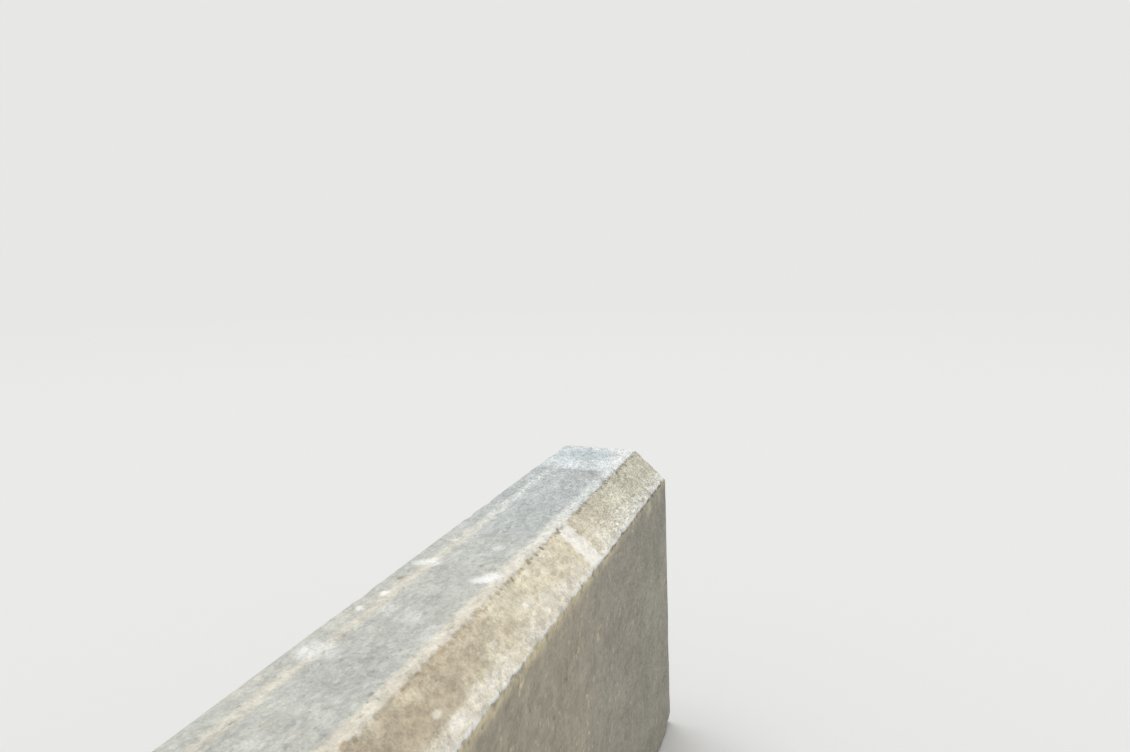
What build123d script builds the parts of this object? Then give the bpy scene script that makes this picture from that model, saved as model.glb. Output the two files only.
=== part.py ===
from build123d import *

import os

# Concrete kerb stone, pressed in one piece.
# It stands on its narrow base and lies along X. The sloped edge and the front face look to -Y,
# the back face to +Y. The origin is the middle of the base. All sizes are in millimetres.

length = 1000.0
width = 80.0
height = 200.0

# The slope that takes off the edge between the top and the front face
slope_run = 23.0  # how far it reaches back into the top
slope_drop = 18.0  # how far it reaches down the front face

# Radii that the press mould leaves on the long arrises
base_arris = 2.0
back_arris = 3.0
slope_top_arris = 4.0  # between the top and the slope
slope_foot_arris = 2.0  # between the slope and the front face

# Radius round both butt ends, where the stones meet
end_arris = 1.0

front = -width / 2
back = width / 2
near_end = -length / 2

with BuildPart() as kerb_stone:
    # The section looks along the stone, with its first axis from front to back
    with BuildSketch(Plane.YZ.offset(near_end)):
        with BuildLine():
            FilletPolyline(
                (front, 0),
                (back, 0),
                (back, height),
                (front + slope_run, height),
                (front, height - slope_drop),
                radius=[base_arris, base_arris, back_arris, slope_top_arris, slope_foot_arris],
                close=True,
            )
        make_face()
    extrude(amount=length)

    butt_ends = kerb_stone.faces().filter_by(Axis.X)
    fillet(butt_ends.edges(), end_arris)

kerb_stone.part.label = "kerb_stone"

os.makedirs("parts", exist_ok=True)
export_step(kerb_stone.part, "parts/kerb_stone.step")
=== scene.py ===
import math
import random

import bmesh
import bpy
from mathutils import Matrix, Vector, noise


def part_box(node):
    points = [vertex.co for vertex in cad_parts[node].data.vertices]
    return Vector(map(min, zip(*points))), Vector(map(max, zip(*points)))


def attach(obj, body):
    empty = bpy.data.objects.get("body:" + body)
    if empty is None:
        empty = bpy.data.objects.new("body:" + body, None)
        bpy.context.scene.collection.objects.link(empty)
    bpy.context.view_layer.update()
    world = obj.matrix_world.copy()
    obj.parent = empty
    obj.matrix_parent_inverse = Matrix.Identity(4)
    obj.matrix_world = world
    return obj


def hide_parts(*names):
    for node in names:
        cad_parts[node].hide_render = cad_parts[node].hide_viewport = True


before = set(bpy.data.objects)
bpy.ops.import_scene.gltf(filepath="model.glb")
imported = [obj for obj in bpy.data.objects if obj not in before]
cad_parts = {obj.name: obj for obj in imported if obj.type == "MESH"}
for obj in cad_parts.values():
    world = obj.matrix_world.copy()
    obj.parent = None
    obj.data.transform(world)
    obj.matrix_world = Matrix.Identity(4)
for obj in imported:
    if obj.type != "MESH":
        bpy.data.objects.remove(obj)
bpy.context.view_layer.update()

# Everything is in metres. The stone lies along X, stands on z = 0 and shows its sloped edge to -Y.
stoneLow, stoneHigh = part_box("kerb_stone")

# The form, with the sizes of the solid that it stands for. Each arris has a radius and its segments.
form = {
    "slopeRun": 0.023,
    "slopeDrop": 0.018,
    "baseArris": (0.002, 2),
    "backArris": (0.003, 3),
    "slopeTopArris": (0.004, 5),
    "slopeFootArris": (0.002, 4),
    "endArris": (0.0012, 2),
}

# How far apart the points of the mesh lie, finer where the eye goes
spacing = {
    "rows": 0.0013,
    "base": 0.016,
    "back": 0.012,
    "top": 0.0034,
    "slope": 0.0013,
    "front": 0.0050,
    "fineBand": 0.010,  # beside the slope, on the top and on the front
    "fine": 0.0014,
    "endRim": 0.0012,
    "ends": 0.0038,
}

topZ = stoneHigh.z
frontY = stoneLow.y
backY = stoneHigh.y
halfLength = (stoneHigh.x - stoneLow.x) / 2
slopeTop = Vector((0, frontY + form["slopeRun"], topZ))  # the arris between top and slope
slopeFoot = Vector((0, frontY, topZ - form["slopeDrop"]))  # the arris between slope and front
slopeWay = (slopeFoot - slopeTop).normalized()
slopeNormal = Vector((0, -form["slopeDrop"], form["slopeRun"])).normalized()
backArris = Vector((0, backY, topZ))
frontBase = Vector((0, frontY, 0))
backBase = Vector((0, backY, 0))


def edgeBetween(bm, start, end):
    middle = (start + end) / 2
    return min(bm.edges, key=lambda e: ((e.verts[0].co + e.verts[1].co) / 2 - middle).length)


def cutEdge(bm, start, end, step):
    # cuts the straight edge between two places into equal lengths of about one step
    cuts = round((end - start).length / step) - 1
    if cuts > 0:
        bmesh.ops.subdivide_edges(bm, edges=[edgeBetween(bm, start, end)], cuts=cuts)


def makeSection(bm):
    # the outline at the near end as one flat face: five corners, then their rounding
    corners = [
        (frontBase, "baseArris"),
        (backBase, "baseArris"),
        (backArris, "backArris"),
        (slopeTop, "slopeTopArris"),
        (slopeFoot, "slopeFootArris"),
    ]
    places = [Vector((stoneLow.x, corner.y, corner.z)) for corner, _ in corners]
    verts = [bm.verts.new(place) for place in places]
    bm.faces.new(verts)
    cutBack = []
    for i, vert in enumerate(verts):
        radius, segments = form[corners[i][1]]
        before = places[i] - places[i - 1]
        after = places[(i + 1) % len(places)] - places[i]
        cutBack.append(radius * math.tan(before.angle(after) / 2))
        bmesh.ops.bevel(
            bm, geom=[vert], offset=cutBack[i], offset_type="OFFSET", segments=segments,
            profile=0.5, affect="VERTICES", material=-1,
        )

    # each straight side is cut at its own step, the top and the front finer beside the slope
    for i, name in enumerate(("base", "back", "top", "slope", "front")):
        start, end = places[i], places[(i + 1) % len(places)]
        along = (end - start).normalized()
        a = start + along * cutBack[i]
        b = end - along * cutBack[(i + 1) % len(places)]
        if name not in ("top", "front"):
            cutEdge(bm, a, b, spacing[name])
            continue
        seam = b - along * spacing["fineBand"] if name == "top" else a + along * spacing["fineBand"]
        edge = edgeBetween(bm, a, b)
        first = min(edge.verts, key=lambda v: (v.co - a).length)
        bmesh.utils.edge_split(edge, first, (seam - a).length / (b - a).length)
        cutEdge(bm, a, seam, spacing["top" if name == "top" else "fine"])
        cutEdge(bm, seam, b, spacing["fine" if name == "top" else "front"])


def makeStoneMesh():
    bm = bmesh.new()
    makeSection(bm)

    # the outline is drawn out to the far end, and the original face closes the near end
    drawn = bmesh.ops.extrude_face_region(bm, geom=list(bm.faces), use_keep_orig=True)
    moved = [item for item in drawn["geom"] if isinstance(item, bmesh.types.BMVert)]
    bmesh.ops.translate(bm, verts=moved, vec=(2 * halfLength, 0, 0))
    bmesh.ops.recalc_face_normals(bm, faces=bm.faces)

    # the rims round both ends are rounded
    rims = [e for e in bm.edges if abs(e.verts[0].co.x - e.verts[1].co.x) < halfLength]
    radius, segments = form["endArris"]
    bmesh.ops.bevel(
        bm, geom=rims, offset=radius, offset_type="OFFSET", segments=segments,
        profile=0.5, affect="EDGES", material=-1,
    )

    # the long sides are cut into rows
    long = [e for e in bm.edges if abs(e.verts[0].co.x - e.verts[1].co.x) > halfLength]
    bmesh.ops.subdivide_edges(
        bm, edges=long, cuts=round(2 * halfLength / spacing["rows"]) - 1, use_grid_fill=True,
    )

    # each end gets a rim and a grid, so that it can be uneven too
    for side in (-1, 1):
        cap = max(bm.faces, key=lambda f: f.calc_center_median().x * side + len(f.verts))
        bmesh.ops.inset_region(
            bm, faces=[cap], thickness=spacing["endRim"], use_even_offset=True, use_boundary=True,
        )
        faces = [cap]
        for axis, low, high in ((1, frontY, backY), (2, 0, topZ)):
            steps = round((high - low) / spacing["ends"])
            for i in range(1, steps):
                at, normal = Vector(), Vector()
                at[axis] = low + (high - low) * i / steps
                normal[axis] = 1
                around = {item for f in faces for item in [*f.edges, *f.verts]}
                cut = bmesh.ops.bisect_plane(
                    bm, geom=faces + list(around), plane_co=at, plane_no=normal,
                )
                faces = [item for item in cut["geom"] if isinstance(item, bmesh.types.BMFace)]
    print("stone mesh:", len(bm.verts), "points", len(bm.faces), "faces")
    return bm


# Wear and damage. Every depth is how far the surface is worn inward at most.
wear = {
    "seed": 20,
    # the lumps of each kind of wear: share, size, seed and, where they are drawn out, how much the
    # place is stretched along each axis
    "mouldLumps": [(1, 0.11, 0, (1, 2, 2))],
    "baseLumps": [(0.6, 0.014, 6), (0.4, 0.005, 8)],
    "slopeLumps": [(0.6, 0.0042, 7), (0.4, 0.0034, 3, (1, 0.25, 0.25))],
    "dipLumps": [(1, 0.016, 9)],
    "topLumps": [(1, 0.018, 1), (0.6, 0.005, 2)],
    "dragLumps": [(1, 0.0045, 4, (1, 1, 0.08))],
    "waveLumps": [(1, 0.02, 5)],
    "arrisLumps": [(0.6, 0.012, 21), (0.4, 0.004, 5)],
    "endLumps": [(0.7, 0.009, 12), (0.3, 0.004, 13)],
    "brokenLumps": [(1, 0.004, 31)],
    "basePlain": 0.35,  # lumps lower than this leave the base as it is
    "slopePlain": 0.55,
    "mouldWave": 0.00025,
    "topGrain": 0.00014,
    "slopeGrain": 0.00035,
    "slopeDips": 0.0006,
    "sideDrag": 0.00018,
    "sideWave": 0.0001,
    "baseGrain": 0.0006,
    "onFace": 0.0005,  # a point as near to a face as this lies on it
    "clearOfEnds": 0.0013,
    "slopeTopWear": 0.0007,
    "slopeFootWear": 0.0005,
    "backWear": 0.0004,
    "arrisReach": 0.006,  # how far an arris is rubbed on both its sides
    "endWear": 0.0008,
    "endReach": 0.004,
    # small chips strewn along the slope: pits and nicks at its head, notches at its foot
    "pitPitch": 0.018,
    "pitLong": (0.0018, 0.0032),
    "pitDepthShare": 0.33,
    "pitDown": (0.0004, 0.0034),
    "nickPitch": 0.0062,
    "nickLong": (0.0013, 0.0024),
    "nickHigh": 0.0012,
    "nickDepth": 0.0005,
    "nickDown": (0.0006, 0.0022),
    "notchPitch": 0.0068,
    "notchLong": (0.0010, 0.0022),  # the shortest, and how much is added at most
    "notchHigh": 0.0013,
    "notchDepth": (0.0001, 0.14),  # the least, and the share of its length that is added
    # chips along the other arrises: how many, half size and depth
    "arrisChips": [
        (backArris, 60, 0.0032, 0.0004),
        (frontBase, 50, 0.0055, 0.0011),
        (backBase, 50, 0.0055, 0.0011),
    ],
    # small blowholes that the press leaves on the sides
    "blowholes": 90,
    "blowholeSize": (0.0014, 0.0024),
    "blowholeDepth": (0.0005, 0.0011),
    "blowholeZ": (0.01, 0.175),
    "chipOutline": (0.0007, 0.0025),  # how far the outline of a chip strays, and over what length
    "fullShadeDepth": 0.0010,  # a chip as deep as this gets the full painted shade
    "brokenReach": 0.03,  # the part of an end that a broken corner can reach
    "brokenGrain": 0.0011,
    "brokenDepth": 0.0012,  # from here on the broken face is darkened in full
    "handPitsFrom": 0.125,  # from this x on the pits are placed one by one
    # pits below the head of the slope on the stretch that the photo shows: x, length and depth
    "headPits": [
        (0.463, 0.0036, 0.0012), (0.442, 0.0040, 0.0013), (0.420, 0.0032, 0.0010),
        (0.398, 0.0026, 0.0008), (0.376, 0.0034, 0.0010), (0.363, 0.0030, 0.0009),
        (0.327, 0.0046, 0.0016), (0.302, 0.0040, 0.0012), (0.292, 0.0028, 0.0009),
        (0.281, 0.0032, 0.0010), (0.261, 0.0030, 0.0009), (0.245, 0.0024, 0.0008),
        (0.225, 0.0020, 0.0006), (0.216, 0.0026, 0.0008), (0.185, 0.0024, 0.0007),
        (0.145, 0.0020, 0.0006),
    ],
    # notches in the front under the foot of the slope there: x, half length and depth
    "footNotches": [
        (0.4770, 0.0040, 0.0006), (0.4655, 0.0022, 0.0005), (0.4570, 0.0026, 0.0005),
        (0.4440, 0.0044, 0.0007), (0.4290, 0.0030, 0.0006), (0.4130, 0.0018, 0.0004),
        (0.3900, 0.0024, 0.0005), (0.3765, 0.0024, 0.0006), (0.3585, 0.0034, 0.0005),
        (0.3430, 0.0018, 0.0004), (0.3195, 0.0024, 0.0005),
    ],
    "footNotchDrop": 0.0021,  # how far below the arris they lie
    "footNotchHigh": (0.0012, 0.0018),
    "footNotchInto": 0.0016,
    # corners that are broken off, each through three places
    "brokenCorners": [
        ((0.4990, -0.0165, 0.2000), (0.4922, -0.0400, 0.1820), (0.5000, -0.0400, 0.1785)),
        ((-0.5000, -0.0150, 0.2000), (-0.4965, -0.0300, 0.1900), (-0.5000, -0.0400, 0.1800)),
        ((0.5000, 0.0400, 0.1955), (0.4955, 0.0400, 0.2000), (0.5000, 0.0345, 0.2000)),
        ((-0.5000, 0.0400, 0.1930), (-0.4930, 0.0400, 0.2000), (-0.5000, 0.0350, 0.2000)),
        ((-0.5000, -0.0400, 0.0085), (-0.4920, -0.0400, 0.0000), (-0.5000, -0.0330, 0.0000)),
        ((0.5000, 0.0400, 0.0060), (0.4940, 0.0400, 0.0000), (0.5000, 0.0340, 0.0000)),
    ],
}


def lumps(p, name):
    # soft noise at a place: the layers of one kind of wear, each from 0 to its share
    total = 0
    for share, size, seed, *stretch in wear[name]:
        place = Vector([a * b for a, b in zip(p, stretch[0])]) if stretch else p
        total += share * (0.5 + 0.5 * noise.noise(place / size + Vector((seed, seed * 0.7, -seed))))
    return total


def makeChips():
    # places where concrete has broken away: centre, half sizes, depth and how dark the painted shade in it
    # is
    dice = random.Random(wear["seed"])
    chips = []

    def chip(arris, x, down, size, depth, chipShade=0.3):
        centre = arris + slopeWay * down
        centre.x = x
        chips.append((centre, Vector(size), depth, chipShade))

    def pit(x, long, depth):
        # a few small chips that run into each other
        for _ in range(3):
            size = long * dice.uniform(0.3, 0.55)
            chip(
                slopeTop, x + long * dice.uniform(-0.35, 0.35), dice.uniform(*wear["pitDown"]),
                (size, size * 0.9, size * 0.8), depth * dice.uniform(0.6, 1.1), 1.0,
            )

    for x, long, depth in wear["headPits"]:
        pit(x, long, depth)
    x = -halfLength
    while x < wear["handPitsFrom"]:
        x += wear["pitPitch"] * dice.uniform(0.4, 1.8)
        long = dice.uniform(*wear["pitLong"])
        pit(x, long, long * wear["pitDepthShare"])

    x = -halfLength
    high = wear["nickHigh"]
    while x < halfLength:
        x += wear["nickPitch"] * dice.uniform(0.3, 1.9)
        long = dice.uniform(*wear["nickLong"])
        down = dice.uniform(*wear["nickDown"])
        chip(slopeTop, x, down, (long, high, high), wear["nickDepth"], dice.uniform(0.9, 1.7))

    x = -halfLength
    high = wear["notchHigh"]
    shortest, longer = wear["notchLong"]
    least, share = wear["notchDepth"]
    underFoot = slopeFoot + Vector((0, 0.0002, -0.0008))
    while x < halfLength:
        x += wear["notchPitch"] * dice.uniform(0.3, 1.9)
        long = shortest + longer * dice.random() ** 2
        chip(underFoot, x, 0, (long, high, high), least + long * share, dice.uniform(0.3, 1.0))
    for x, long, depth in wear["footNotches"]:
        for _ in range(3):
            along = x + long * dice.uniform(-0.6, 0.6)
            centre = Vector((along, frontY, slopeFoot.z - wear["footNotchDrop"]))
            half = long * dice.uniform(0.35, 0.7)
            size = Vector((half, wear["footNotchInto"], dice.uniform(*wear["footNotchHigh"])))
            chips.append((centre, size, depth * dice.uniform(0.7, 1.1), 1.5))

    for arris, count, reach, depth in wear["arrisChips"]:
        for _ in range(count):
            big = dice.random() ** 3
            size = Vector((1 + 1.6 * big, 0.8 + big * 0.6, 0.8 + big * 0.6))
            size = size * reach * dice.uniform(0.5, 1.1)
            chip(arris, dice.uniform(-halfLength, halfLength), 0, size, depth * (0.5 + 1.1 * big))
    for _ in range(wear["blowholes"]):
        side = dice.choice((frontY, backY))
        level = Vector((0, side, dice.uniform(*wear["blowholeZ"])))
        x = dice.uniform(-halfLength, halfLength)
        size = [dice.uniform(*wear["blowholeSize"])] * 3
        chip(level, x, 0, size, dice.uniform(*wear["blowholeDepth"]))
    return chips


def wearDepth(p):
    # how far the surface is worn at a place, without the chips
    depth = wear["mouldWave"] * lumps(p, "mouldLumps")
    toTop = topZ - p.z
    toSlope = (slopeTop - p).dot(slopeNormal)
    toEnd = halfLength - abs(p.x)
    if p.z < wear["onFace"]:
        depth += wear["baseGrain"] * max(0, lumps(p, "baseLumps") - wear["basePlain"])
    elif toSlope < wear["onFace"] and toEnd > wear["clearOfEnds"]:
        depth += wear["slopeGrain"] * lumps(p, "slopeLumps")
        depth += wear["slopeDips"] * max(0, lumps(p, "dipLumps") - wear["slopePlain"])
    elif toTop < wear["onFace"]:
        depth += wear["topGrain"] * lumps(p, "topLumps")
    else:
        depth += wear["sideDrag"] * lumps(p, "dragLumps")
        depth += wear["sideWave"] * lumps(p, "waveLumps")

    # the long arrises and the edges of both ends are rubbed
    reach = wear["arrisReach"]
    for arris, amount in (
        (slopeTop, wear["slopeTopWear"]),
        (slopeFoot, wear["slopeFootWear"]),
        (backArris, wear["backWear"]),
    ):
        away = math.hypot(p.y - arris.y, p.z - arris.z)
        if away < reach:
            rub = lumps(Vector((p.x, arris.y, 0)), "arrisLumps")
            depth += amount * rub * (1 - away / reach) ** 2
    reach = wear["endReach"]
    edge = min(toTop, p.z, toSlope, p.y - frontY, backY - p.y)
    if toEnd < reach and edge < reach:
        rub = lumps(p, "endLumps")
        depth += wear["endWear"] * rub * (1 - edge / reach) * (1 - toEnd / reach)
    return depth


def roughen(bm):
    # every point moves inward only, so the stone stays inside the solid
    noise.seed_set(wear["seed"])  # noise_vector would take its seed from the clock
    chips = makeChips()
    cell = 0.02  # the chips are sorted by x into cells of this length
    nearby = {}
    for chip in chips:
        for step in (-1, 0, 1):
            nearby.setdefault(round(chip[0].x / cell) + step, []).append(chip)
    hollow = bm.verts.layers.float.new("hollow")
    broken = bm.verts.layers.float.new("broken")
    stray, strayLength = wear["chipOutline"]
    bm.normal_update()
    moved = []
    for vert in bm.verts:
        p = vert.co
        deep = dark = 0
        ragged = p + stray * noise.noise_vector(p / strayLength)
        for centre, size, drop, chipShade in nearby.get(round(p.x / cell), ()):
            away = ragged - centre
            q = (away.x / size.x) ** 2 + (away.y / size.y) ** 2 + (away.z / size.z) ** 2
            if q < 1:
                deep = max(deep, drop * (1 - q) ** 0.7)
                # the deeper a chip, the darker the painted shade in it
                dark = max(dark, chipShade * deep / wear["fullShadeDepth"])
        vert[hollow] = min(1, dark)
        moved.append(p - vert.normal * (wearDepth(p) + deep))
    for vert, place in zip(bm.verts, moved):
        vert.co = place
    # the broken corners are worn back onto a rough plane
    for corner in wear["brokenCorners"]:
        a, b, c = (Vector(place) for place in corner)
        normal = (b - a).cross(c - a).normalized()
        if normal.x * a.x < 0:
            normal = -normal
        for vert in bm.verts:
            if vert.co.x * a.x < 0 or abs(vert.co.x) < halfLength - wear["brokenReach"]:
                continue
            beyond = (vert.co - a).dot(normal) + wear["brokenGrain"] * lumps(vert.co, "brokenLumps")
            if beyond > 0:
                vert.co -= normal * beyond
                vert[broken] = min(1, beyond / wear["brokenDepth"])
    print("stone roughened with", len(chips), "chips and", len(wear["brokenCorners"]), "broken corners")


class Signal:
    # one output of a material's node, so that shader maths reads as plain Python
    def __init__(self, finish, socket):
        self.finish = finish
        self.socket = socket

    def maths(self, operation, *values):
        return self.finish.add("ShaderNodeMath", {"operation": operation}, dict(enumerate(values)))

    def __add__(self, other):
        return self.maths("ADD", self, other)

    def __radd__(self, other):
        return self.maths("ADD", other, self)

    def __sub__(self, other):
        return self.maths("SUBTRACT", self, other)

    def __rsub__(self, other):
        return self.maths("SUBTRACT", other, self)

    def __mul__(self, other):
        return self.maths("MULTIPLY", self, other)

    def __rmul__(self, other):
        return self.maths("MULTIPLY", other, self)

    def __abs__(self):
        return self.maths("ABSOLUTE", self)

    def most(self, other):
        return self.maths("MAXIMUM", self, other)

    def ramp(self, low, high):
        # goes smoothly from 0 to 1 as the value goes from low to high, or down where high is the lower
        settings = {"interpolation_type": "SMOOTHSTEP"}
        return self.finish.add("ShaderNodeMapRange", settings, {0: self, 1: low, 2: high, 3: 0.0, 4: 1.0})

    def band(self, low, high, soft):
        # 1 between two values, with soft borders
        return self.ramp(low - soft, low + soft) * self.ramp(high + soft, high - soft)


class Finish:
    # the nodes of a new material or world, and the one way in which they are added
    def __init__(self, owner):
        owner.use_nodes = True
        self.owner = owner
        self.tree = owner.node_tree
        self.tree.nodes.clear()

    def add(self, kind, settings=None, sockets=None, output=0):
        node = self.tree.nodes.new(kind)
        for name, value in (settings or {}).items():
            setattr(node, name, value)
        for name, value in (sockets or {}).items():
            if isinstance(value, Signal):
                self.tree.links.new(value.socket, node.inputs[name])
            else:
                node.inputs[name].default_value = value
        return Signal(self, node.outputs[output]) if node.outputs else None

    def separate(self, place):
        node = self.add("ShaderNodeSeparateXYZ", {}, {0: place}).socket.node
        return [Signal(self, output) for output in node.outputs]

    def seen(self):
        # 1 on rays that come from the camera, also by way of a mirror or through glass
        camera = self.add("ShaderNodeLightPath", output="Is Camera Ray")
        paths = camera.socket.node.outputs
        for name in ("Is Glossy Ray", "Is Transmission Ray"):
            camera = camera.most(Signal(self, paths[name]))
        return camera

    def vector(self, operation, *values, output=0):
        sockets = dict(enumerate(values))
        if operation == "SCALE":
            sockets = {0: values[0], 3: values[1]}
        return self.add("ShaderNodeVectorMath", {"operation": operation}, sockets, output)

    def noise(self, place, scale, detail, roughness, stretch=None, output="Fac"):
        place = self.stretch(place, *stretch) if stretch else place
        sockets = {"Vector": place, "Scale": scale, "Detail": detail, "Roughness": roughness}
        return self.add("ShaderNodeTexNoise", {}, sockets, output)

    def grains(self, place, scale):
        # a random shade for each small cell
        cells = self.add("ShaderNodeTexVoronoi", {}, {"Vector": place, "Scale": scale}, "Color")
        return self.separate(cells)[0]

    def stretch(self, place, x, y, z):
        return self.vector("MULTIPLY", place, (x, y, z))

    def warp(self, place, scale, reach):
        push = self.noise(place, scale, 3.0, 0.6, output="Color")
        push = self.vector("SUBTRACT", push, (0.5, 0.5, 0.5))
        return self.vector("ADD", place, self.vector("SCALE", push, reach))

    def spot(self, place, centre, size, soft=0.3):
        # 1 inside an oval round one place
        away = self.vector("DIVIDE", self.vector("SUBTRACT", place, centre), size)
        return self.vector("LENGTH", away, output="Value").ramp(1 + soft, 1 - soft)

    def colour(self, mask, first, second):
        # the first colour where the mask is 0, the second where it is 1
        return self.add("ShaderNodeMix", {"data_type": "RGBA"}, {0: mask, 6: first, 7: second}, 2)


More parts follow.
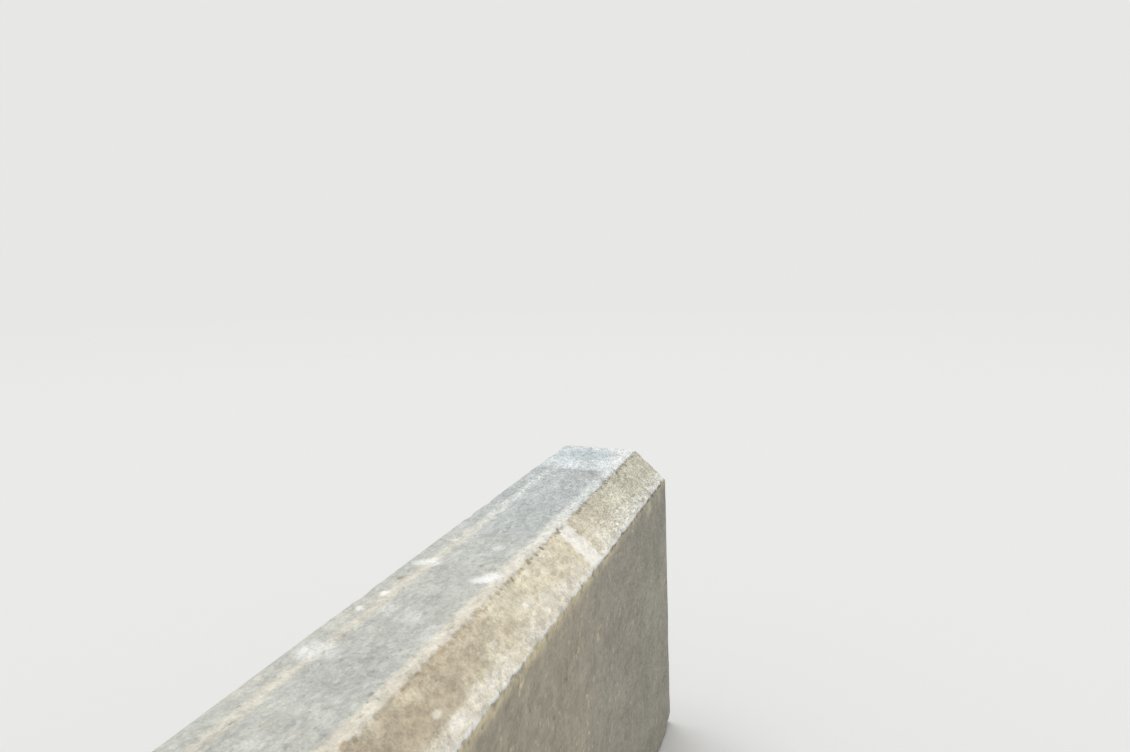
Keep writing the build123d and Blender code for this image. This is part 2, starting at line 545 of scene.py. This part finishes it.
# The finish of the concrete. Colours are linear, places are in metres on the stone. A pair gives the
# values at which a mask is 0 and 1. A third number is the softness of a band's borders.
concrete = {
    # the top's cool tint is painted sky light
    "topGreyCool": (0.505, 0.535, 0.535, 1),
    "topGreyWarm": (0.540, 0.550, 0.505, 1),
    "topPaleCool": (0.717, 0.747, 0.728, 1),
    "topPaleWarm": (0.728, 0.682, 0.576, 1),
    "topShade": (0.44, 0.43, 0.41, 1),
    "topMargin": (0.720, 0.762, 0.770, 1),
    "topBlue": (0.512, 0.572, 0.590, 1),
    "smear": (0.88, 0.88, 0.85, 1),
    "rustDot": (0.40, 0.27, 0.17, 1),
    "darkDot": (0.34, 0.34, 0.31, 1),
    # the slope's warm colours are partly its own sandy colour and partly painted warm light
    "slopeGrey": (0.518, 0.496, 0.396, 1),
    "slopeTan": (0.545, 0.473, 0.348, 1),
    "slopeDeep": (0.475, 0.410, 0.300, 1),
    "slopeSand": (0.76, 0.695, 0.535, 1),
    "slopeSandEnd": (0.705, 0.682, 0.560, 1),
    "slopeWhite": (0.90, 0.865, 0.77, 1),
    "slopeFootPale": (0.795, 0.800, 0.735, 1),
    "slopeFootCream": (0.82, 0.775, 0.665, 1),
    "stripe": (0.945, 0.915, 0.835, 1),
    "sideGrey": (0.376, 0.356, 0.299, 1),
    "sideDark": (0.319, 0.302, 0.254, 1),
    "sideWarm": (0.445, 0.402, 0.318, 1),
    "sideWarmDark": (0.368, 0.333, 0.266, 1),
    "sideYellow": (0.695, 0.612, 0.420, 1),
    "sideGreen": (0.57, 0.555, 0.395, 1),
    "sideBrown": (0.46, 0.375, 0.275, 1),
    "sideFleck": (0.20, 0.165, 0.12, 1),
    "baseGrey": (0.36, 0.345, 0.30, 1),
    "fracture": (0.30, 0.29, 0.25, 1),
    # the dark of the painted shade in chips, ticks and notches, and its warmer kind near the middle
    "pit": (0.15, 0.14, 0.115, 1),
    "pitWarm": (0.39, 0.275, 0.155, 1),
    "rusty": (0.56, 0.39, 0.215, 1),
    "arrisWhite": (0.85, 0.86, 0.85, 1),
    "roughness": 0.88,
    "roughnessSpread": 0.16,
    "specular": 0.3,
    # noises: scale, detail, roughness and, where it is drawn out, the stretch along each axis
    "drift": (9, 2, 0.5),
    "border": (190, 3, 0.65),
    "cloud": (46, 5, 0.7, (0.7, 1, 1)),
    "specks": (390, 2, 0.5, (0.8, 1, 1)),
    "runs": (280, 3, 0.7, (1, 0.7, 0.7)),
    "slopePatches": (56, 5, 0.75),
    "slopeBroad": (14, 2, 0.5),
    "stripeWear": (190, 3, 0.6),
    "drag": (210, 4, 0.8, (1, 1, 0.5)),
    "sideBroad": (30, 5, 0.75, (1, 1, 0.6)),
    "stain": (95, 4, 0.75, (1, 1, 0.7)),
    "flecks": (340, 2, 0.5, (1, 1, 0.7)),
    "baseMottle": (60, 4, 0.6),
    "ticks": (330, 2, 0.5, (1, 0.4, 0.4)),
    "rustyDots": (270, 2, 0.6),
    "underFoot": (330, 2, 0.5, (0.5, 1, 1)),
    "gaps": (420, 3, 0.6),
    "chipShade": (480, 3, 0.6),
    "mottle": (60, 4, 0.95),
    "mottleDrawn": (56, 4, 0.95, (0.6, 1, 1)),
    "sand": 480,
    "fine": (850, 2, 0.7),
    "fineDrawn": (1050, 2, 0.7, (0.42, 1, 1)),
    # warps, which make borders ragged: scale and reach
    "edgeWarp": (130, 0.0046),
    "smearWarp": (110, 0.0060),
    "limeWarp": (120, 0.0050),
    "stripeWarp": (200, 0.006),
    "patchWarp": (120, 0.009),
    "sandWarp": (500, 0.0008),
    "bumpStrength": 0.7,
    "bumpDistance": 0.0005,
    "spotDepth": 0.02,  # half size of a painted spot across the surface
    "coarser": (0.24, 0.42),  # distance from the middle over which the grain gets coarser
    "clearOfEnds": (0.0005, 0.0014),
    "onFront": (0.0035, 0.0015),
    "onBase": (0.0012, 0.0004),
    # the top, measured along and across it
    "topWarm": (0.43, 0.22),
    "creamLine": (0.0236, 0.0288, 0.0024),
    "creamLineFar": (0.27, 0.33),
    "backBand": (0.024, 0.030),
    "headBand": (-0.0083, -0.0133),
    "margin": (0.4354, 0.4400),
    "blueAlong": (0.466, 0.488, 0.007),
    "blueAcross": (-0.003, 0.032, 0.007),
    "cornerAlong": (0.438, 0.452),
    "cornerAcross": (0.000, -0.010),
    "brightX": 0.305,
    "brightAway": (0.055, 0.025),
    "rim": (0.0042, 0.0024),
    # the slope, measured along it and down it, where 0 is its head and 1 its foot
    "slopeGreyEnds": (0.30, 0.42),
    "slopePaleEnds": (0.31, 0.43),
    "slopeSoftEnds": (0.32, 0.42),
    "stripeAlong": (0.3240, 0.3382, 0.0018),
    "brightSlopeX": 0.318,
    "brightSlopeAway": (0.120, 0.040),
    "darkMiddle": (0.225, 0.145),
    "deepX": (0.108, 0.168, 0.018),
    "fadeInMiddle": (0.03, 0.13),
    "paleFoot": (0.26, 0.20),
    # lighter and, below 0, darker places on the slope: x, how far from it they begin and are full,
    # the same for the distance down, and the amount
    "lightBand": (0.375, (0.045, 0.015), (0.35, 0.70, 0.12), 0.10),
    "slopeLights": [
        (0.275, (0.070, 0.040), (0.35, 0.05), 0.17),
        (0.135, (0.040, 0.020), (0.34, 0.20), 0.11),
        (0.368, (0.040, 0.020), (0.34, 0.15), -0.09),
    ],
    # small marks along both arrises of the slope
    "tickBand": (0.0010, 0.0028, 0.0010),
    "rustyBand": (-0.0024, 0.0, 0.0010),
    "underFootBand": (0.0012, 0.0033, 0.0007),
    "whiteLine": (0.0021, 0.0011),
    "darkLine": (0.0030, 0.0016),
    # the sides
    "sideWarmFar": (0.42, 0.22),
    "sideEnds": (0.30, 0.42),
    "stainBelow": (0.0085, 0.0010),
    "stainAlong": (0.42, 0.30),
    # pale smears on the top: x, y, half length along x, half width, strength
    "smears": [
        (0.1745, 0.0285, 0.0066, 0.0082, 0.70), (0.2625, 0.0318, 0.0028, 0.0040, 0.65),
        (0.2650, 0.0258, 0.0042, 0.0040, 0.85), (0.2525, -0.0062, 0.0040, 0.0046, 0.75),
        (0.2575, -0.0098, 0.0054, 0.0044, 0.85), (0.2115, 0.0316, 0.0020, 0.0018, 1.00),
        (0.2278, 0.0300, 0.0023, 0.0018, 0.80), (0.2940, 0.0297, 0.0024, 0.0020, 0.70),
        (0.2910, 0.0020, 0.0040, 0.0026, 0.45), (0.2000, -0.0090, 0.0080, 0.0036, 0.15),
        (0.2130, 0.0180, 0.0050, 0.0034, 0.35), (0.2100, 0.0080, 0.0060, 0.0050, 0.25),
        (-0.1180, 0.0120, 0.0060, 0.0034, 0.50), (-0.3420, -0.0040, 0.0042, 0.0052, 0.70),
    ],
    # broad darker places on the top, in the same terms
    "shades": [
        (0.1700, 0.0040, 0.0130, 0.0110, 0.45), (0.4250, -0.0040, 0.0130, 0.0070, 0.50),
        (-0.2600, 0.0100, 0.0240, 0.0080, 0.35),
    ],
    # pale lime on the slope: x, distance below the arris, half length, half width, strength
    "limeSpots": [
        (0.1712, 0.0236, 0.0066, 0.0026, 0.95), (0.1668, 0.0165, 0.0028, 0.0016, 0.60),
        (0.1905, 0.0215, 0.0034, 0.0022, 0.55), (0.2165, 0.0150, 0.0028, 0.0012, 0.60),
        (0.2000, 0.0240, 0.0050, 0.0018, 0.50), (0.2560, 0.0150, 0.0050, 0.0026, 0.60),
        (0.2855, 0.0222, 0.0052, 0.0024, 0.75), (0.2700, 0.0190, 0.0060, 0.0030, 0.40),
        (-0.2150, 0.0180, 0.0070, 0.0034, 0.60), (-0.0600, 0.0090, 0.0050, 0.0028, 0.45),
    ],
    # stained patches on the front: x, z, half length, half height, strength, colour
    "patches": [
        (0.4455, 0.1750, 0.0066, 0.0056, 0.75, "sideGreen"),
        (0.4760, 0.1120, 0.0180, 0.0120, 0.15, "sideGreen"),
        (0.4780, 0.1715, 0.0040, 0.0032, 0.40, "sideGreen"),
        (0.3760, 0.1715, 0.0030, 0.0032, 0.50, "sideBrown"),
        (0.2190, 0.1745, 0.0024, 0.0024, 0.90, "sideYellow"),
        (0.3240, 0.1440, 0.0020, 0.0022, 0.70, "sideYellow"),
        (-0.1650, 0.1300, 0.0240, 0.0180, 0.12, "sideYellow"),
        (-0.3800, 0.0900, 0.0160, 0.0260, 0.12, "sideGreen"),
    ],
    # small dark and rusty dots on the top: x, y, half size, colour
    "dots": [
        (0.2440, 0.0313, 0.0019, "rustDot"), (0.2150, 0.0022, 0.0015, "darkDot"),
        (0.2675, 0.0004, 0.0014, "darkDot"), (0.1550, -0.0100, 0.0014, "darkDot"),
        (-0.2320, -0.0020, 0.0014, "rustDot"),
    ],
}


def topFinish(m, place, x):
    # a greyer middle between paler bands along both arrises, and pale margins at both ends
    edges = m.separate(m.warp(place, *concrete["edgeWarp"]))
    along, across = abs(edges[0]), edges[1]
    warmth = (abs(x) + (m.noise(place, *concrete["drift"]) - 0.5) * 0.12).ramp(*concrete["topWarm"])
    cloud = m.noise(place, *concrete["cloud"])
    grey = m.colour(warmth, concrete["topGreyCool"], concrete["topGreyWarm"])
    pale = m.colour(warmth, concrete["topPaleCool"], concrete["topPaleWarm"])
    colour = m.colour(cloud.ramp(0.50, 0.75) * 0.45, grey, pale)
    for sx, sy, long, wide, strength in concrete["shades"]:
        shade = m.spot(place, (sx, sy, topZ), (long, wide, concrete["spotDepth"]), 0.7)
        colour = m.colour(shade * strength, colour, concrete["topShade"])

    # pale bands along the back arris, beside it and along the head of the slope
    back = across.ramp(*concrete["backBand"]) * 0.06
    colour = m.colour(back * warmth, colour, pale)
    clear = cloud.ramp(0.26, 0.46) * 0.5 + abs(x).ramp(*concrete["creamLineFar"]) * 0.24 + 0.23
    colour = m.colour(across.band(*concrete["creamLine"]) * clear, colour, pale)
    head = across.ramp(*concrete["headBand"])
    colour = m.colour(head * (cloud.ramp(0.25, 0.55) * 0.10 + 0.90), colour, pale)

    # the margins, with a bluer field and a whiter corner, and the rims of both ends
    margin = along.ramp(*concrete["margin"]) * (cloud.ramp(0.30, 0.55) * 0.3 + 0.62)
    colour = m.colour(margin, colour, concrete["topMargin"])
    blue = along.band(*concrete["blueAlong"]) * across.band(*concrete["blueAcross"])
    colour = m.colour(blue * 0.9, colour, concrete["topBlue"])
    corner = along.ramp(*concrete["cornerAlong"]) * across.ramp(*concrete["cornerAcross"])
    colour = m.colour(corner * 0.45, colour, concrete["smear"])
    bright = abs(x - concrete["brightX"]).ramp(*concrete["brightAway"]) * head
    colour = m.colour(bright * 0.28, colour, concrete["slopeWhite"])
    rim = (halfLength - abs(x)).ramp(*concrete["rim"]) * cloud.ramp(0.35, 0.50)
    colour = m.colour(rim * 0.5, colour, concrete["topPaleWarm"])

    # dark and pale specks, smears and dots
    specks = m.noise(place, *concrete["specks"])
    colour = m.colour(specks.ramp(0.63, 0.72) * 0.55, colour, concrete["darkDot"])
    colour = m.colour(specks.ramp(0.36, 0.28) * 0.40, colour, concrete["topPaleCool"])
    ragged = m.warp(place, *concrete["smearWarp"])
    for sx, sy, long, wide, strength in concrete["smears"]:
        smear = m.spot(ragged, (sx, sy, topZ), (long, wide, concrete["spotDepth"]), 0.6)
        colour = m.colour(smear * strength, colour, concrete["smear"])
    for sx, sy, size, shade in concrete["dots"]:
        dot = m.spot(place, (sx, sy, topZ), (size, size * 0.7, concrete["spotDepth"]), 0.5)
        colour = m.colour(dot * 0.8, colour, concrete[shade])
    return colour


def slopeFinish(m, place, x, y):
    # sandy, its warmth partly painted warm light, greyer towards the ends, whiter towards its foot
    down = (slopeTop.y - y) * (1 / form["slopeRun"])
    runs = m.noise(place, *concrete["runs"])
    patches = m.noise(place, *concrete["slopePatches"])
    broad = m.noise(place, *concrete["slopeBroad"])

    # how much lime lies on it: more in some stretches, less in others, and the most at its foot
    fade = abs(x).ramp(*concrete["fadeInMiddle"]) * 0.85 + 0.15
    middle = down.ramp(0.80, 0.55) * (down.ramp(0.10, 0.40) * 0.7 + 0.3)
    bright = abs(x - concrete["brightSlopeX"]).ramp(*concrete["brightSlopeAway"]) * 0.14
    bright = bright - abs(x).ramp(*concrete["darkMiddle"]) * middle * fade * 0.36
    bright = bright + abs(x).ramp(*concrete["paleFoot"]) * down.ramp(0.60, 0.85) * fade * 0.16
    sx, away, level, amount = concrete["lightBand"]
    bright = bright + abs(x - sx).ramp(*away) * down.band(*level) * amount
    for sx, away, level, amount in concrete["slopeLights"]:
        bright = bright + abs(x - sx).ramp(*away) * down.ramp(*level) * amount
    lime = patches * 0.75 + runs * 0.25 + broad * 0.35 + down * 0.15 + bright

    base = m.colour(abs(x).ramp(*concrete["slopeGreyEnds"]), concrete["slopeTan"], concrete["slopeGrey"])
    base = m.colour(x.band(*concrete["deepX"]) * middle, base, concrete["slopeDeep"])
    towardsEnd = abs(x).ramp(*concrete["slopePaleEnds"])
    sand = m.colour(towardsEnd, concrete["slopeSand"], concrete["slopeSandEnd"])
    soft = abs(x).ramp(*concrete["slopeSoftEnds"]) * 0.09
    colour = m.colour(lime.ramp(0.56 - soft, 0.98 + soft), base, sand)
    white = (lime + down * 0.20).ramp(0.96, 1.30)
    colour = m.colour(white * 0.8, colour, concrete["slopeWhite"])
    foot = down.ramp(0.50, 1.0) * (patches * 0.5 + runs * 0.5).ramp(0.36, 0.56)
    footShade = m.colour(towardsEnd, concrete["slopeFootCream"], concrete["slopeFootPale"])
    colour = m.colour(foot * (towardsEnd * 0.18 + 0.66), colour, footShade)
    ragged = m.warp(place, *concrete["limeWarp"])
    for sx, below, long, high, strength in concrete["limeSpots"]:
        centre = slopeTop + slopeWay * below
        spot = m.spot(ragged, (sx, centre.y, centre.z), (long, high, high), 0.6)
        colour = m.colour(spot * strength, colour, concrete["slopeWhite"])

    # the white stripe across it
    edge = m.separate(m.warp(place, *concrete["stripeWarp"]))[0]
    stripe = edge.band(*concrete["stripeAlong"])
    stripe = stripe * (m.noise(place, *concrete["stripeWear"]).ramp(0.20, 0.45) * 0.2 + 0.8)
    return m.colour(stripe, colour, concrete["stripe"]), runs, stripe


def onFront(y):
    # 1 on the front face and just round its edges
    away, near = concrete["onFront"]
    return y.ramp(frontY + away, frontY + near)


def sideFinish(m, place, x, y, z):
    # mottled cement paste, drawn out a little upright by the mould, and a warmer stain below the arris
    drag = m.noise(place, *concrete["drag"])
    broad = m.noise(place, *concrete["sideBroad"])
    far = abs(x) + (m.noise(place, *concrete["drift"]) - 0.5) * 0.14
    warmth = far.ramp(*concrete["sideWarmFar"])
    light = m.colour(warmth, concrete["sideGrey"], concrete["sideWarm"])
    dark = m.colour(warmth, concrete["sideDark"], concrete["sideWarmDark"])
    colour = m.colour((drag * 0.4 + broad * 0.6).ramp(0.66, 0.34), light, dark)

    stain = m.noise(place, *concrete["stain"])
    below = (slopeFoot.z - z).ramp(*concrete["stainBelow"]) * onFront(y)
    below = below * (0.45 + 0.55 * x.ramp(*concrete["stainAlong"]))
    colour = m.colour(below * stain.ramp(0.36, 0.52), colour, concrete["sideYellow"])
    towardsEnd = far.ramp(*concrete["sideEnds"])
    stained = m.colour(towardsEnd, concrete["sideYellow"], concrete["sideGreen"])
    stainy = (broad * 0.5 + stain * 0.5).ramp(0.56, 0.68)
    colour = m.colour(stainy * (towardsEnd * 0.14 + 0.28), colour, stained)
    ragged = m.warp(place, *concrete["patchWarp"])
    for sx, sz, long, high, strength, shade in concrete["patches"]:
        patch = m.spot(ragged, (sx, frontY, sz), (long, concrete["spotDepth"], high), 0.6)
        colour = m.colour(patch * strength, colour, concrete[shade])

    flecks = m.noise(place, *concrete["flecks"])
    colour = m.colour(flecks.ramp(0.64, 0.72) * 0.6, colour, stained)
    return m.colour(flecks.ramp(0.35, 0.28) * 0.45, colour, concrete["sideFleck"]), drag


def makeConcrete():
    m = Finish(bpy.data.materials.new("pressedConcrete"))
    place = m.add("ShaderNodeTexCoord", output="Object")
    x, y, z = m.separate(place)
    coarser = abs(x).ramp(*concrete["coarser"])
    clearOfEnds = (halfLength - abs(x)).ramp(*concrete["clearOfEnds"])

    # which face of the stone a place is on, with a ragged border between the top and the slope that
    # is softer near the middle of the stone
    ragged = (m.noise(place, *concrete["border"]) - 0.5) * (0.0066 - coarser * 0.0028)
    across = y + ragged - coarser * 0.0008 + 0.0008
    blur = 0.0010 - coarser * 0.0010
    low = slopeTop.y - 0.0010 - blur
    high = slopeTop.y + 0.0006 + blur
    isTop = across.ramp(low, high) * z.ramp(topZ - 0.0042, topZ - 0.0030) * clearOfEnds
    isSlope = across.ramp(high, low) * z.ramp(slopeFoot.z - 0.0004, slopeFoot.z + 0.0004) * clearOfEnds
    isSide = (1 - isTop) * (1 - isSlope)

    slope, runs, stripe = slopeFinish(m, place, x, y)
    side, drag = sideFinish(m, place, x, y, z)
    base = m.noise(place, *concrete["baseMottle"]).ramp(0.35, 0.7)
    base = m.colour(base, concrete["baseGrey"], concrete["sideGrey"])
    colour = m.colour(z.ramp(*concrete["onBase"]), side, base)
    colour = m.colour(isTop, colour, topFinish(m, place, x))
    colour = m.colour(isSlope, colour, slope)

    # small dark ticks of painted shade and rusty dots below the head of the slope
    down = (slopeTop.y - y) * ((slopeFoot - slopeTop).length / form["slopeRun"])
    ticks = m.noise(place, *concrete["ticks"]).ramp(0.53, 0.63)
    ticks = ticks * down.band(*concrete["tickBand"]) * clearOfEnds
    # the colour of the painted shade in ticks and chips, warmer near the middle
    shadow = m.colour(abs(x).ramp(0.34, 0.20), concrete["pit"], concrete["pitWarm"])
    colour = m.colour(ticks * (coarser * 0.14 + 0.42), colour, shadow)
    rusty = m.noise(place, *concrete["rustyDots"]).ramp(0.56, 0.68)
    rusty = rusty * (across - slopeTop.y).band(*concrete["rustyBand"]) * clearOfEnds
    rusty = rusty * z.ramp(slopeFoot.z, topZ - 0.0080)
    colour = m.colour(rusty * (0.75 - coarser * 0.65), colour, concrete["rusty"])

    # painted shade in dark notches under the foot of the slope, and a thin bright line along it, broken by
    # painted shade
    under = m.noise(place, *concrete["underFoot"]).ramp(0.48, 0.60) * onFront(y)
    under = under * (slopeFoot.z - z).band(*concrete["underFootBand"])
    colour = m.colour(under * (coarser * 0.70 + 0.10), colour, concrete["pit"])
    fromFoot = abs(y - slopeFoot.y) + abs(z - slopeFoot.z) - coarser * 0.0003 + 0.0003
    gaps = m.noise(place, *concrete["gaps"])
    whiteLine = fromFoot.ramp(*concrete["whiteLine"]) * gaps.ramp(0.28, 0.38)
    colour = m.colour(whiteLine, colour, concrete["arrisWhite"])
    darkLine = fromFoot.ramp(*concrete["darkLine"]) * gaps.ramp(0.37, 0.29) * 0.55
    colour = m.colour(darkLine, colour, concrete["pit"])

    # broken corners made darker, and painted shade in the chips
    broken = m.add("ShaderNodeAttribute", {"attribute_name": "broken"}, output="Fac")
    colour = m.colour(broken.ramp(0.2, 0.7) * 0.85, colour, concrete["fracture"])
    hollow = m.add("ShaderNodeAttribute", {"attribute_name": "hollow"}, output="Fac")
    chipShade = hollow.ramp(0.12, 0.85) * m.noise(place, *concrete["chipShade"]).ramp(0.28, 0.52)
    colour = m.colour(chipShade * 0.80, colour, shadow)

    # mottles from 20 mm down to 1 mm and single grains of sand, drawn out along the stone towards its ends
    plainMottle = m.noise(place, *concrete["mottle"])
    mottle = plainMottle + (m.noise(place, *concrete["mottleDrawn"]) - plainMottle) * coarser
    coarse = m.grains(m.warp(m.stretch(place, 0.6, 1, 1), *concrete["sandWarp"]), concrete["sand"])
    plainFine = m.noise(place, *concrete["fine"])
    fine = plainFine + (m.noise(place, *concrete["fineDrawn"]) - plainFine) * coarser
    calm = 1 - stripe * isSlope * 0.4
    cloudy = (1.00 + isTop * 0.05 + isSlope * (0.35 - coarser * 0.40)) * calm
    grainy = 0.45 + coarser * 0.35 + isTop * (coarser * 0.60 + 0.22) + isSlope * (coarser * 0.78 + 0.35)
    grainy = grainy * calm
    grain = (coarse - 0.5) * (0.30 - coarser * 0.13) + (fine - 0.5) * (0.70 + coarser * 0.38)
    shade = 1 + (mottle - 0.5) * cloudy + grain * grainy
    colour = m.vector("SCALE", colour, shade)

    height = (coarse * 0.4 + fine * 0.8) * grainy + runs * isSlope * 0.4 + drag * isSide * 0.6
    bump = m.add("ShaderNodeBump", {}, {
        "Strength": concrete["bumpStrength"],
        "Distance": concrete["bumpDistance"],
        "Height": height - ticks * 1.2,
    })
    surface = m.add("ShaderNodeBsdfPrincipled", {}, {
        "Base Color": colour,
        "Roughness": concrete["roughness"] + (fine - 0.5) * concrete["roughnessSpread"],
        "Specular IOR Level": concrete["specular"],
        "Normal": bump,
    })
    m.add("ShaderNodeOutputMaterial", {}, {"Surface": surface})
    print("concrete material:", len(m.tree.nodes), "nodes")
    return m.owner


def makeStone():
    bm = makeStoneMesh()
    roughen(bm)
    bmesh.ops.triangulate(bm, faces=[f for f in bm.faces if len(f.verts) > 4])
    mesh = bpy.data.meshes.new("stoneMesh")
    bm.to_mesh(mesh)
    bm.free()
    mesh.polygons.foreach_set("use_smooth", [True] * len(mesh.polygons))
    stone = bpy.data.objects.new("kerbStone", mesh)
    bpy.context.scene.collection.objects.link(stone)
    mesh.materials.append(makeConcrete())
    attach(stone, "root")
    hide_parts("kerb_stone")


# The room: a pale floor that fades into a plain backdrop of the same colour, and soft light
room = {
    "floorRadius": 60.0,
    "floorSegments": 96,
    "floorColour": (0.80, 0.80, 0.79, 1),
    "floorRoughness": 0.9,
    "floorSpecular": 0.1,
    "floorFade": (1.2, 5.0),  # how far from the stone the floor passes into the backdrop
    "backdrop": (0.80, 0.80, 0.79, 1),
    "worldLight": 0.66,
    "keyStrength": 1.20,
    "keySpread": 40.0,
    "keyPlace": (0, 1, 3),
    "keyTilt": (-12.0, 8.0, 0.0),
}


def makeFloor():
    bm = bmesh.new()
    bmesh.ops.create_circle(
        bm, cap_ends=True, segments=room["floorSegments"], radius=room["floorRadius"],
    )
    mesh = bpy.data.meshes.new("floorMesh")
    bm.to_mesh(mesh)
    bm.free()
    floor = bpy.data.objects.new("floor", mesh)
    bpy.context.scene.collection.objects.link(floor)
    m = Finish(bpy.data.materials.new("floorPaint"))
    place = m.add("ShaderNodeTexCoord", output="Object")
    paint = m.add("ShaderNodeBsdfPrincipled", {}, {
        "Base Color": room["floorColour"],
        "Roughness": room["floorRoughness"],
        "Specular IOR Level": room["floorSpecular"],
    })
    glow = m.add("ShaderNodeEmission", {}, {"Color": room["backdrop"], "Strength": 1.0})
    faded = m.vector("LENGTH", place, output="Value").ramp(*room["floorFade"]) * m.seen()
    blend = m.add("ShaderNodeMixShader", {}, {0: faded, 1: paint, 2: glow})
    m.add("ShaderNodeOutputMaterial", {}, {"Surface": blend})
    mesh.materials.append(m.owner)


def makeWorld():
    w = Finish(bpy.data.worlds.new("studio"))
    bpy.context.scene.world = w.owner
    light = w.add("ShaderNodeBackground", {}, {"Color": (1, 1, 1, 1), "Strength": room["worldLight"]})
    backdrop = w.add("ShaderNodeBackground", {}, {"Color": room["backdrop"], "Strength": 1.0})
    blend = w.add("ShaderNodeMixShader", {}, {0: w.seen(), 1: light, 2: backdrop})
    w.add("ShaderNodeOutputWorld", {}, {"Surface": blend})


def makeKeyLight():
    lamp = bpy.data.lights.new("softKey", "SUN")
    lamp.energy = room["keyStrength"]
    lamp.angle = math.radians(room["keySpread"])
    key = bpy.data.objects.new("softKey", lamp)
    key.location = room["keyPlace"]
    key.rotation_euler = [math.radians(turn) for turn in room["keyTilt"]]
    bpy.context.scene.collection.objects.link(key)


# The camera stands low beside the far half of the stone and looks along it. Its picture is shifted
# down, so that it looks level although the stone lies low in the frame.
eye = {
    "pixelsWide": 1130,
    "focalPixels": 805,
    "axisRow": 243,
    "middleRow": 376,
    "behindFarEnd": 0.5863,
    "besideFront": 0.1293,
    "aboveTop": 0.1554,
    "turn": 19.26,
    "roll": -1.17,
    "sensor": 36.0,
    "clip": (0.01, 200.0),
}


def makeCamera():
    lens = bpy.data.cameras.new("eye")
    lens.sensor_width = eye["sensor"]
    lens.lens = eye["sensor"] * eye["focalPixels"] / eye["pixelsWide"]
    lens.shift_y = (eye["axisRow"] - eye["middleRow"]) / eye["pixelsWide"]
    lens.clip_start, lens.clip_end = eye["clip"]
    camera = bpy.data.objects.new("eye", lens)
    camera.location = (
        stoneHigh.x - eye["behindFarEnd"],
        frontY - eye["besideFront"],
        topZ + eye["aboveTop"],
    )
    # a level camera that looks along X, then turned and rolled
    aim = Matrix.Rotation(math.radians(eye["turn"] - 90), 3, "Z") @ Matrix.Rotation(math.radians(90), 3, "X")
    camera.rotation_euler = (aim @ Matrix.Rotation(math.radians(eye["roll"]), 3, "Z")).to_euler()
    bpy.context.scene.collection.objects.link(camera)
    bpy.context.scene.camera = camera


makeCamera()
makeFloor()
makeWorld()
makeKeyLight()
bpy.context.scene.view_settings.view_transform = "Standard"
print("camera, floor and light made")
makeStone()
